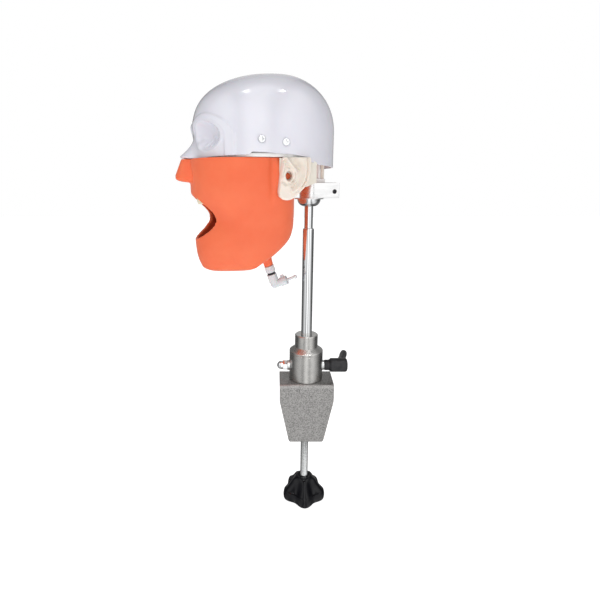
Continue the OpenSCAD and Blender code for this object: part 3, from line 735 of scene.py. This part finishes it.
EAR_BASE = 71.5
CANAL = (3.7, 4.9)
EAR_EDGE = ((26.4, 5), (27, 14), (26.4, 21.3), (9, 21.5), (-7, 21.5), (-8, 17), (-9.5, 4), (-10.5, -8),
            (-11.5, -19), (-10.5, -24), (-7, -27), (-1.5, -28), (4, -27), (9, -23.5), (13.2, -19),
            (18.4, -13.5), (22.4, -8), (25.4, -1.5))
# Height, width and line of each ridge (or groove) of the ear, from the ear canal
EAR_RELIEF = (
    (2.4, 1.5, ((18.6, 22), (18.8, 6), (17.7, -2.5), (14, -10), (8.8, -15), (2.5, -18))),
    (3.4, 1.9, ((23, 22), (23.2, 4), (21.3, -6), (17, -13.5), (10, -21))),
    (-1.6, 0.8, ((20.8, 22), (21.2, 3), (19.3, -5), (15.2, -12))),
    (-3.0, 2.0, ((14.2, 9), (14.6, 1), (12, -6), (8.5, -10.5), (4, -13.5))),
    (-5.0, 4.0, ((1.5, 24), (6, 17), (11, 12))),
    (-3.4, 4.2, ((10.5, 8), (10, 1), (7, -5))),
    (4.0, 2.0, ((-7, 24), (-1, 15.5), (4.5, 9), (8, 6))),
    (-2.2, 1.8, ((-6, 17), (-2, 11.5), (2, 7.5))),
    (2.6, 1.7, ((-7, 13), (-8.4, 5), (-7.2, -1))),
    (-2.0, 1.3, ((-5.8, 23), (-5, 17))),
    (-2.6, 1.6, ((-11, -3), (-8.2, -6.2), (-4, -9.5), (2, -8.6), (6, -5))),
)


def ear_outline(angles):
    """Reach of the ear's edge from the canal in each direction."""
    edge = np.array(EAR_EDGE + EAR_EDGE[:1], float)
    steps = np.concatenate([edge[:-1] + (edge[1:] - edge[:-1]) * s for s in np.linspace(0, 0.95, 20)])
    direction = np.arctan2(steps[:, 1], steps[:, 0]) % (2 * math.pi)
    order = np.argsort(direction)
    reach = np.interp(angles, direction[order], np.hypot(steps[:, 0], steps[:, 1])[order], period=2 * math.pi)
    for _ in range(3):
        reach = (np.roll(reach, 1) + reach * 2 + np.roll(reach, -1)) / 4
    return reach


def ear_height(u, v, to_edge):
    """Height of the ear over its base, rounded off towards the edge."""
    height = 8.2 + 0.11 * u
    for amount, width, line in EAR_RELIEF:
        height = height + amount * bell(line_distance(u, v, line), width)
    ring = np.hypot(u / CANAL[0], v / CANAL[1])
    height += 1.6 * bell(ring - 1.55, 0.35) - 2.5 * bell(ring - 1.0, 0.2)
    height -= 1.5 * bell(np.hypot(u + 3, v + 20), 9)
    lip = np.clip(to_edge / 3.2, 0, 1)
    return height * (0.35 + 0.65 * np.sqrt(1 - (1 - lip) ** 2))


def make_ear(node, side):
    count, rows = 220, 64
    angle = np.linspace(0, 2 * math.pi, count, endpoint=False)
    reach = ear_outline(angle)
    start = 1 / np.hypot(np.cos(angle) / CANAL[0], np.sin(angle) / CANAL[1])
    t = np.linspace(0, 1, rows)[:, None]
    radius = start + (reach - start) * (1 - (1 - t) ** 1.25)
    u, v = radius * np.cos(angle), radius * np.sin(angle)
    top = np.stack([u, v, ear_height(u, v, reach - radius)], 2)
    back_t = np.linspace(1, 0, 12)[:, None]
    radius = start + (reach * 0.985 - start) * back_t
    u, v = radius * np.cos(angle), radius * np.sin(angle)
    back = np.stack([u, v, -5.5 * (1 - rise(u, -12, -6))], 2)
    local = np.concatenate([top, back]).reshape(-1, 3)
    points = np.stack([EAR_CENTRE[0] + local[:, 0], side * (EAR_BASE + local[:, 2]),
                       EAR_CENTRE[1] + local[:, 1]], 1)
    total = rows + 12
    faces = grid_faces(total, count)
    last = (total - 1) * count
    faces += [(last + i, last + (i + 1) % count, (i + 1) % count, i) for i in range(count)]
    mesh = mesh_from(node + "_skin", points.tolist(), faces, HEAD)
    fix_normals(mesh)
    piece = link(node + "_skin", mesh)
    relax = piece.modifiers.new("relax", "SMOOTH")
    relax.iterations = 2
    return place(smooth(apply_modifiers(piece)), node)


# ---------------------------------------------------------------- jaws

ARCH_MIDDLE = -105.5
JAW_PIN = Vector((-60, 0, 300)) * MM
JAW = (HEAD @ Matrix.Translation(JAW_PIN) @ Matrix.Rotation(math.radians(-25), 4, "Y")
       @ Matrix.Translation(-JAW_PIN))
UPPER = dict(widths=(8.4, 6.8, 7.6, 7, 6.8, 10, 9.4), arch=(45.5, 26.5), neck=281.2, way=-1, frame=HEAD,
             gum=(50, 31), inside=(37, 19), plate=(296.8, 291.5), tail=8)
LOWER = dict(widths=(5.4, 6, 6.8, 7, 7.2, 10.8, 10.2), arch=(40.5, 25.5), neck=262.4, way=1, frame=JAW,
             gum=(44.5, 29.5), inside=(33, 18), plate=(242.2, 247.2), tail=6)
SCREW_HOLE = (-120, 3.0)


def tooth_spots(widths, arch):
    """Arch angle, in radians, of each tooth's middle on one side, from the front outwards."""
    spots, t = [], 0.0
    for width in widths:
        t += width / 2 / math.hypot(arch[0] * math.sin(t), arch[1] * math.cos(t))
        spots.append(t)
        t += width / 2 / math.hypot(arch[0] * math.sin(t), arch[1] * math.cos(t))
    return spots


def crown(width, depth, height, kind):
    """Points of one crown: z up from its neck, x outwards from the arch, y along it."""
    count, rows = 28, 15
    angle = np.linspace(0, 2 * math.pi, count, endpoint=False)
    c, s = spow(np.cos(angle), 0.75), spow(np.sin(angle), 0.75)
    rings = []
    for k in range(rows):
        t = k / (rows - 1)
        if t <= 0.6:
            h = t / 0.6
            broad = 0.72 + 0.28 * math.sin(min(1, h * 1.3) * math.pi / 2)
            tapers = {"incisor": 1 - 0.55 * h ** 1.3, "canine": 1 - 0.45 * h ** 1.4}
            deep = tapers.get(kind, 1 - 0.12 * h ** 2)
            x, y, z = c * depth / 2 * deep * broad, s * width / 2 * broad, np.full(count, height * 0.93 * h)
            lean = -depth * 0.12 * h if kind in ("incisor", "canine") else 0
        else:
            h = (t - 0.6) / 0.4
            deep = {"incisor": 0.45, "canine": 0.55}.get(kind, 0.88)
            shrink = math.cos(h * math.pi / 2) ** 0.55
            x = c * depth / 2 * deep * shrink
            y = s * width / 2 * shrink * (1 if kind != "canine" else shrink ** 0.4)
            crest = height * (0.93 + 0.07 * math.sin(min(1, h * 2) * math.pi / 2))
            z = np.full(count, crest)
            if kind == "canine":
                z = z + 1.0 * h
            elif kind != "incisor":
                lobes = 2 if kind == "premolar" else 4
                turn = 0 if kind == "premolar" else math.pi / 4
                z = z + 0.9 * math.sin(h * math.pi) ** 0.8 * np.cos(lobes * (angle - turn)) - 1.5 * h ** 1.5
            lean = -depth * 0.12 if kind in ("incisor", "canine") else 0
        rings.append(np.stack([x + lean, y, z], 1))
    points = np.concatenate(rings)
    faces = grid_faces(rows, count) + [tuple(range(count))[::-1]]
    return points, faces


def make_teeth(node, spec):
    kinds = ("incisor", "incisor", "canine", "premolar", "premolar", "molar", "molar")
    a, b = spec["arch"]
    points, faces = [], []
    for side in (-1, 1):
        for i, (width, t) in enumerate(zip(spec["widths"], tooth_spots(spec["widths"], spec["arch"]))):
            depth = 6.5 if i < 3 else (8.2 if i < 5 else 9.8)
            local, quads = crown(width - 0.25, depth, 9.2 - i * 0.25, kinds[i])
            out = math.atan2(side * math.sin(t) / b, -math.cos(t) / a)
            x = ARCH_MIDDLE - a * math.cos(t) + local[:, 0] * math.cos(out) - local[:, 1] * math.sin(out)
            y = side * b * math.sin(t) + local[:, 0] * math.sin(out) + local[:, 1] * math.cos(out)
            start = len(points)
            points += np.stack([x, y, spec["neck"] + spec["way"] * local[:, 2]], 1).tolist()
            faces += [tuple(start + k for k in face) for face in quads]
    mesh = mesh_from(node + "_crowns", points, faces, spec["frame"])
    fix_normals(mesh)
    return place(smooth(link(node + "_crowns", mesh), 60), node)


def gum_crest(spec, angles):
    """Rise of the gum between the teeth, along the arch."""
    spots = tooth_spots(spec["widths"], spec["arch"])
    spots = [-t for t in reversed(spots)] + spots
    place_in_row = np.interp(angles, spots, range(len(spots)))
    return 0.5 - 0.5 * np.cos(2 * math.pi * place_in_row)


def make_gum(node, spec):
    """A horseshoe ridge with scalloped margins on a base plate, as one closed surface."""
    count = 181
    angles = np.linspace(-math.pi / 2, math.pi / 2, count)
    crest = gum_crest(spec, angles)
    base, floor = spec["plate"]
    neck, way = spec["neck"], spec["way"]
    (a1, b1), (a0, b0) = spec["gum"], spec["inside"]
    # Share of the way from the inside edge to the outside edge (-1 is the plate's middle), then the height
    # as a share of the way from the base to the neck
    section = [(-1, "base"), (-1, "floor"), (-0.06, "floor"), (0, 0.25), (0.03, 0.6), (0.1, 0.86),
               (0.22, 1.0), (0.5, 1.04), (0.78, 1.02), (0.9, 0.94), (0.975, 0.7), (1, 0.4), (1, 0.12),
               (0.97, 0), (0.5, 0)]
    rings = []
    for share, level in section:
        if share == -1:
            a, b = 3.0, 2.0
        else:
            a, b = a0 + (a1 - a0) * share, b0 + (b1 - b0) * share
        if level in ("base", "floor"):
            z = np.full(count, base if level == "base" else floor)
        else:
            scallop = crest * 1.3 * (1 if 0.15 < share < 0.96 and level > 0.8 else 0)
            z = base + (neck - base) * level + way * scallop
        tail = spec["tail"] * rise(np.abs(angles), math.pi / 2 - 0.12, math.pi / 2)
        rings.append(np.stack([ARCH_MIDDLE - a * np.cos(angles) + tail, b * np.sin(angles), z], 1))
    rings = np.array(rings)
    rows = len(rings)
    faces = grid_faces(rows, count, closed=False)
    last = (rows - 1) * count
    faces += [(last + i, last + i + 1, i + 1, i) for i in range(count - 1)]
    faces += [tuple(j * count for j in range(rows)), tuple(j * count + count - 1 for j in range(rows))[::-1]]
    mesh = mesh_from(node + "_acrylic", rings.reshape(-1, 3).tolist(), faces, spec["frame"])
    fix_normals(mesh)
    piece = link(node + "_acrylic", mesh)
    x, radius = SCREW_HOLE
    hole = lathe("hole", [(0, -40), (radius, -40), (radius, 40), (0, 40)], 32,
                 spec["frame"] @ Matrix.Translation(Vector((x, 0, base)) * MM))
    boolean(piece, link("hole", hole))
    return place(remesh(piece, 0.55, 4), node)


# ---------------------------------------------------------------- clamp screw and lever

LOCK_Z = 30


def make_star_knob():
    """Five rounded lobes round a hub, from one grid of angles and profile steps."""
    count = 240
    hub, top, bottom = 12.5, -163, -201
    reach, swing, shoulder, corner = 34, 3.3, -188, 4
    angle = np.linspace(0, 2 * math.pi, count, endpoint=False)
    lobes = reach - swing * (1 - np.cos(5 * (angle + math.pi / 2)))
    rings = []

    def ring(radius, z):
        rings.append(np.stack([radius * np.cos(angle), radius * np.sin(angle), z + 0 * angle], 1))

    for radius, z in ((6.15, top - 1.2), (6.15, top - 0.5), (6.6, top), (11.3, top), (12, top - 0.25),
                      (hub, top - 1)):
        ring(radius, z)
    for share in np.linspace(0, 1, 30)[1:]:
        ridge = spline(share, (0, 0.26, 0.53, 0.85, 0.95, 0.99, 1),
                       (-164, -167.5, -175.5, -183.2, -184.8, -186.2, shoulder))
        groove = 4.5 * math.sin(share * math.pi) * (reach - lobes) / (2 * swing)
        ring(hub + (lobes - hub) * share, ridge - groove)
    for h in np.linspace(0, 1, 5)[1:]:
        ring(lobes + 0.4 * math.sin(h * math.pi), shoulder + (bottom + corner - shoulder) * h)
    for q in np.linspace(0, math.pi / 2, 8)[1:]:
        ring(lobes - corner * (1 - math.cos(q)), bottom + corner - corner * math.sin(q))
    for radius, z in ((14, bottom), (12.8, bottom + 0.3), (12, bottom + 1.2), (6, bottom + 1.4),
                      (0.01, bottom + 1.4)):
        ring(radius, z)
    faces = grid_faces(len(rings), count) + [tuple(range(count))]
    mesh = mesh_from("star_knob_body", np.concatenate(rings).tolist(), faces)
    fix_normals(mesh)
    bore = lathe("bore", [(0, -179.2), (6.05, -179.2), (6.05, -150), (0, -150)], 64)
    piece = boolean(link("star_knob_body", mesh), link("bore", bore))
    return place(smooth(piece, 50), "star_knob")


def make_spindle():
    """The zinc-plated screw with its rolled thread."""
    pitch, turns_from, turns_to = 1.75, -161, -58
    count, step = 40, 0.175
    angle = np.linspace(0, 2 * math.pi, count, endpoint=False)
    rings = []
    for z in np.arange(turns_from, turns_to + step / 2, step):
        tooth = np.abs((z / pitch - angle / (2 * math.pi)) % 1 - 0.5) * 2
        fade = min(1, (z - turns_from) / 2, (turns_to - z) / 2)
        radius = 6 - 0.95 * max(fade, 0) * np.clip(1.25 * tooth - 0.12, 0, 1)
        rings.append(np.stack([radius * np.cos(angle), radius * np.sin(angle), np.full(count, z)], 1))
    for radius, z in ((6, -55), (5.2, -54), (3.4, -54), (3.4, -51.1), (4.2, -51.1), (4.4, -50.8),
                      (4.4, -46.2), (3.4, -45.5), (0.01, -45.5)):
        rings.append(np.stack([radius * np.cos(angle), radius * np.sin(angle), np.full(count, z)], 1))
    for radius, z in ((6, -178.2), (5.4, -179), (0.01, -179)):
        rings.insert(0, np.stack([radius * np.cos(angle), radius * np.sin(angle), np.full(count, z)], 1))
    mesh = mesh_from("clamp_spindle_thread", np.concatenate(rings).tolist(), grid_faces(len(rings), count))
    fix_normals(mesh)
    return place(smooth(link("clamp_spindle_thread", mesh), 50), "clamp_spindle")


def lever_axis():
    """Places a turned mesh along the clamping lever's axis."""
    return Matrix.Translation(Vector((0, 0, LOCK_Z)) * MM) @ Matrix.Rotation(math.pi / 2, 4, "Y")


def make_lever_handle():
    """A barrel with a tapering arm, melted into one moulding, with the recess for screw and spring."""
    hub_in, hub_out = 27.8, 62.5
    profile = [(0, hub_in), (7.4, hub_in), (8, hub_in + 0.7), (8, hub_in + 7), (9.6, hub_in + 8.6),
               (10.5, hub_in + 10), (10.5, hub_out - 3), (10, hub_out - 1.4), (8.8, hub_out - 0.3),
               (7.5, hub_out), (0, hub_out)]
    piece = link("lever_handle_moulding", lathe("lever_handle_moulding", profile, 72, lever_axis()))
    root = Vector((52.5, 3, 0))
    tip = Vector((64.5, 46, 0))
    reach = (tip - root).length
    arm = [(0, -4)] + [(spline(t, (0, 0.12, 0.35, 0.7, 0.9, 1), (8.5, 7.2, 6.2, 5.6, 5.8, 5.4)), t * reach)
                       for t in np.linspace(0, 1, 14)]
    arm += [(5.4 * math.cos(q), reach + 5.4 * math.sin(q)) for q in np.linspace(0, math.pi / 2, 8)[1:-1]]
    arm += [(0, reach + 5.4)]
    aim = (tip - root).to_track_quat("Z", "X").to_matrix().to_4x4()
    at = Matrix.Translation(Vector((0, 0, LOCK_Z)) * MM) @ Matrix.Translation(root * MM) @ aim
    boolean(piece, link("arm", lathe("arm", [(float(r), float(z)) for r, z in arm], 48, at)), "UNION")
    remesh(piece, 0.5, 6)
    for radius, start, stop in ((5.6, hub_in - 1, 42), (2.3, hub_in, hub_out), (4.6, 44.5, hub_out + 1)):
        recess = lathe("recess", [(0, start), (radius, start), (radius, stop), (0, stop)], 48, lever_axis())
        boolean(piece, link("recess", recess))
    return place(smooth(piece, 45), "lever_handle")


def make_lever_spring():
    """The spring that returns the lever, a real coil."""
    start, stop, radius, wire, turns = 44.7, 59.5, 3.6, 0.55, 6.5
    count, steps = 10, 240
    points = []
    for i in range(steps):
        t = i / (steps - 1)
        q = 2 * math.pi * turns * t
        x = start + wire + (stop - start - 2 * wire) * t
        centre = Vector((x, radius * math.cos(q), LOCK_Z + radius * math.sin(q)))
        radial = Vector((0, math.cos(q), math.sin(q)))
        for k in range(count):
            w = 2 * math.pi * k / count
            points.append(centre + wire * (math.cos(w) * radial + math.sin(w) * Vector((1, 0, 0))))
    faces = grid_faces(steps, count) + [tuple(range(count)), tuple(range((steps - 1) * count, steps * count))]
    mesh = mesh_from("lever_spring_coil", points, faces)
    fix_normals(mesh)
    piece = place(smooth(link("lever_spring_coil", mesh)), "lever_spring")
    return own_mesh(piece)


# ---------------------------------------------------------------- pieces

SOFTENED = {
    1.0: ("clamp_frame",),
    0.6: ("head_frame", "hinge_block", "arch_mount"),
    0.4: ("pole_socket", "ear_plate_near", "ear_plate_far", "jaw_hangers", "jaw_frame", "pressure_plate",
          "neck_bracket", "drain_elbow", "pole"),
    0.25: ("guide_washer", "acorn_nut", "lever_bush", "neck_cup", "neck_disc", "neck_screw", "drain_nut",
           "drain_seal", "hose_nut", "hose_barb", "drain_tube", "front_posts", "rear_posts", "tilt_pin",
           "jaw_pins", "socket_screws", "lever_screw"),
    0.15: ("cap_screws", "frame_screws", "guide_screw", "friction_washers", "jaw_washers", "plate_ring",
           "upper_arch_screw", "lower_arch_screw", "lock_shoe", "lever_stud"),
}


def make_pieces():
    for width, nodes in SOFTENED.items():
        for node in nodes:
            soften(node, width)
    make_skull_cap()
    make_face_mask()
    make_ear("ear_near", -1)
    make_ear("ear_far", 1)
    make_teeth("upper_teeth", UPPER)
    make_teeth("lower_teeth", LOWER)
    make_gum("upper_gum", UPPER)
    make_gum("lower_gum", LOWER)
    make_star_knob()
    make_spindle()
    make_lever_handle()
    make_lever_spring()


make_pieces()
coat_everything()


# ---------------------------------------------------------------- light and floor

def make_floor():
    bpy.ops.mesh.primitive_plane_add(size=12, location=(0, 0, CAD_BOX[0][2] - 0.0005))
    floor = bpy.context.object
    floor.name = "floor"
    s = Shader("floor_paint", (0.6, 0.6, 0.6), 0.8, Emission_Color=(1, 1, 1, 1), Emission_Strength=0.9)
    s.tint(s.noise(60, 2), (0.59, 0.59, 0.59))
    floor.data.materials.append(s.material)
    floor.visible_glossy = False


def area_light(name, place_at, aim_at, size, power, reflected=False):
    """A soft light. Only the strips are seen in the glossy parts."""
    data = bpy.data.lights.new(name, "AREA")
    data.shape = "RECTANGLE"
    data.size, data.size_y = size
    data.energy = power
    light = bpy.data.objects.new(name, data)
    light.location = place_at
    light.visible_glossy = reflected
    light.rotation_euler = (Vector(aim_at) - Vector(place_at)).to_track_quat("-Z", "Y").to_euler()
    bpy.context.scene.collection.objects.link(light)


def make_world():
    """White to the camera. Glossy parts reflect a studio of upright panels in front and a dark wall behind,
    dimmer from below; the rest is lit by a plain room, brighter from above."""
    world = bpy.data.worlds.new("room")
    bpy.context.scene.world = world
    world.use_nodes = True
    tree = world.node_tree
    tree.nodes.clear()
    path = tree.nodes.new("ShaderNodeLightPath")
    direction = tree.nodes.new("ShaderNodeSeparateXYZ")
    tree.links.new(tree.nodes.new("ShaderNodeTexCoord").outputs["Generated"], direction.inputs["Vector"])

    def greys(axis, stops):
        """Grey levels along one axis of the direction, from -1 to 1."""
        level = tree.nodes.new("ShaderNodeMapRange")
        level.inputs["From Min"].default_value = -1
        tree.links.new(direction.outputs[axis], level.inputs["Value"])
        ramp = tree.nodes.new("ShaderNodeValToRGB")
        elements = ramp.color_ramp.elements
        for element, (_, grey) in zip(elements, (stops[0], stops[-1])):
            element.color = (grey, grey, grey, 1)
        for at, grey in stops[1:-1]:
            elements.new((at + 1) / 2).color = (grey, grey, grey, 1)
        tree.links.new(level.outputs["Result"], ramp.inputs["Fac"])
        return ramp.outputs["Color"]

    def background(colour, strength):
        made = tree.nodes.new("ShaderNodeBackground")
        made.inputs["Color"].default_value = (1, 1, 1, 1)
        made.inputs["Strength"].default_value = strength
        if colour:
            tree.links.new(colour, made.inputs["Color"])
        return made.outputs["Background"]

    def choose(ray, other, chosen):
        mix = tree.nodes.new("ShaderNodeMixShader")
        tree.links.new(path.outputs[ray], mix.inputs["Fac"])
        tree.links.new(other, mix.inputs[1])
        tree.links.new(chosen, mix.inputs[2])
        return mix.outputs["Shader"]

    def product(one, other):
        made = tree.nodes.new("ShaderNodeVectorMath")
        made.operation = "MULTIPLY"
        tree.links.new(one, made.inputs[0])
        tree.links.new(other, made.inputs[1])
        return made.outputs["Vector"]

    across = greys("X", ((-1, 0.2), (-0.8, 0.55), (-0.6, 0.65), (-0.35, 0.15), (-0.15, 0.9), (0.12, 1.0),
                         (0.3, 0.18), (0.5, 0.85), (0.75, 0.7), (1, 0.12)))
    backwards = greys("Y", ((-1, 1), (-0.15, 0.9), (0.15, 0.2), (0.6, 0.15), (1, 0.35)))
    upwards = greys("Z", ((-1, 0.5), (-0.4, 0.62), (0, 0.78), (0.45, 1), (1, 1)))
    room = background(greys("Z", ((-1, 0.6), (0, 0.45), (1, 1))), 0.62)
    lit = choose("Is Glossy Ray", room, background(product(product(across, backwards), upwards), 2.2))
    out = tree.nodes.new("ShaderNodeOutputWorld")
    tree.links.new(choose("Is Camera Ray", lit, background(None, 1)), out.inputs["Surface"])


make_floor()
make_world()
area_light("key", (-0.75, -1.05, 1.15), (-0.03, 0, 0.25), (0.7, 0.7), 4)
area_light("front", (0.35, -1.5, 0.45), (0, 0, 0.2), (0.9, 1.2), 3.8)
area_light("top", (-0.05, 0.1, 1.5), (-0.03, 0, 0.3), (0.8, 0.8), 0.7)
area_light("strip_left", (-0.27, -0.35, 1.35), (-0.06, 0, 0.4), (0.045, 0.08), 0.5, True)
area_light("strip_right", (0.27, -0.35, 1.35), (-0.03, 0, 0.4), (0.045, 0.08), 0.5, True)
bpy.context.scene.view_settings.view_transform = "Standard"
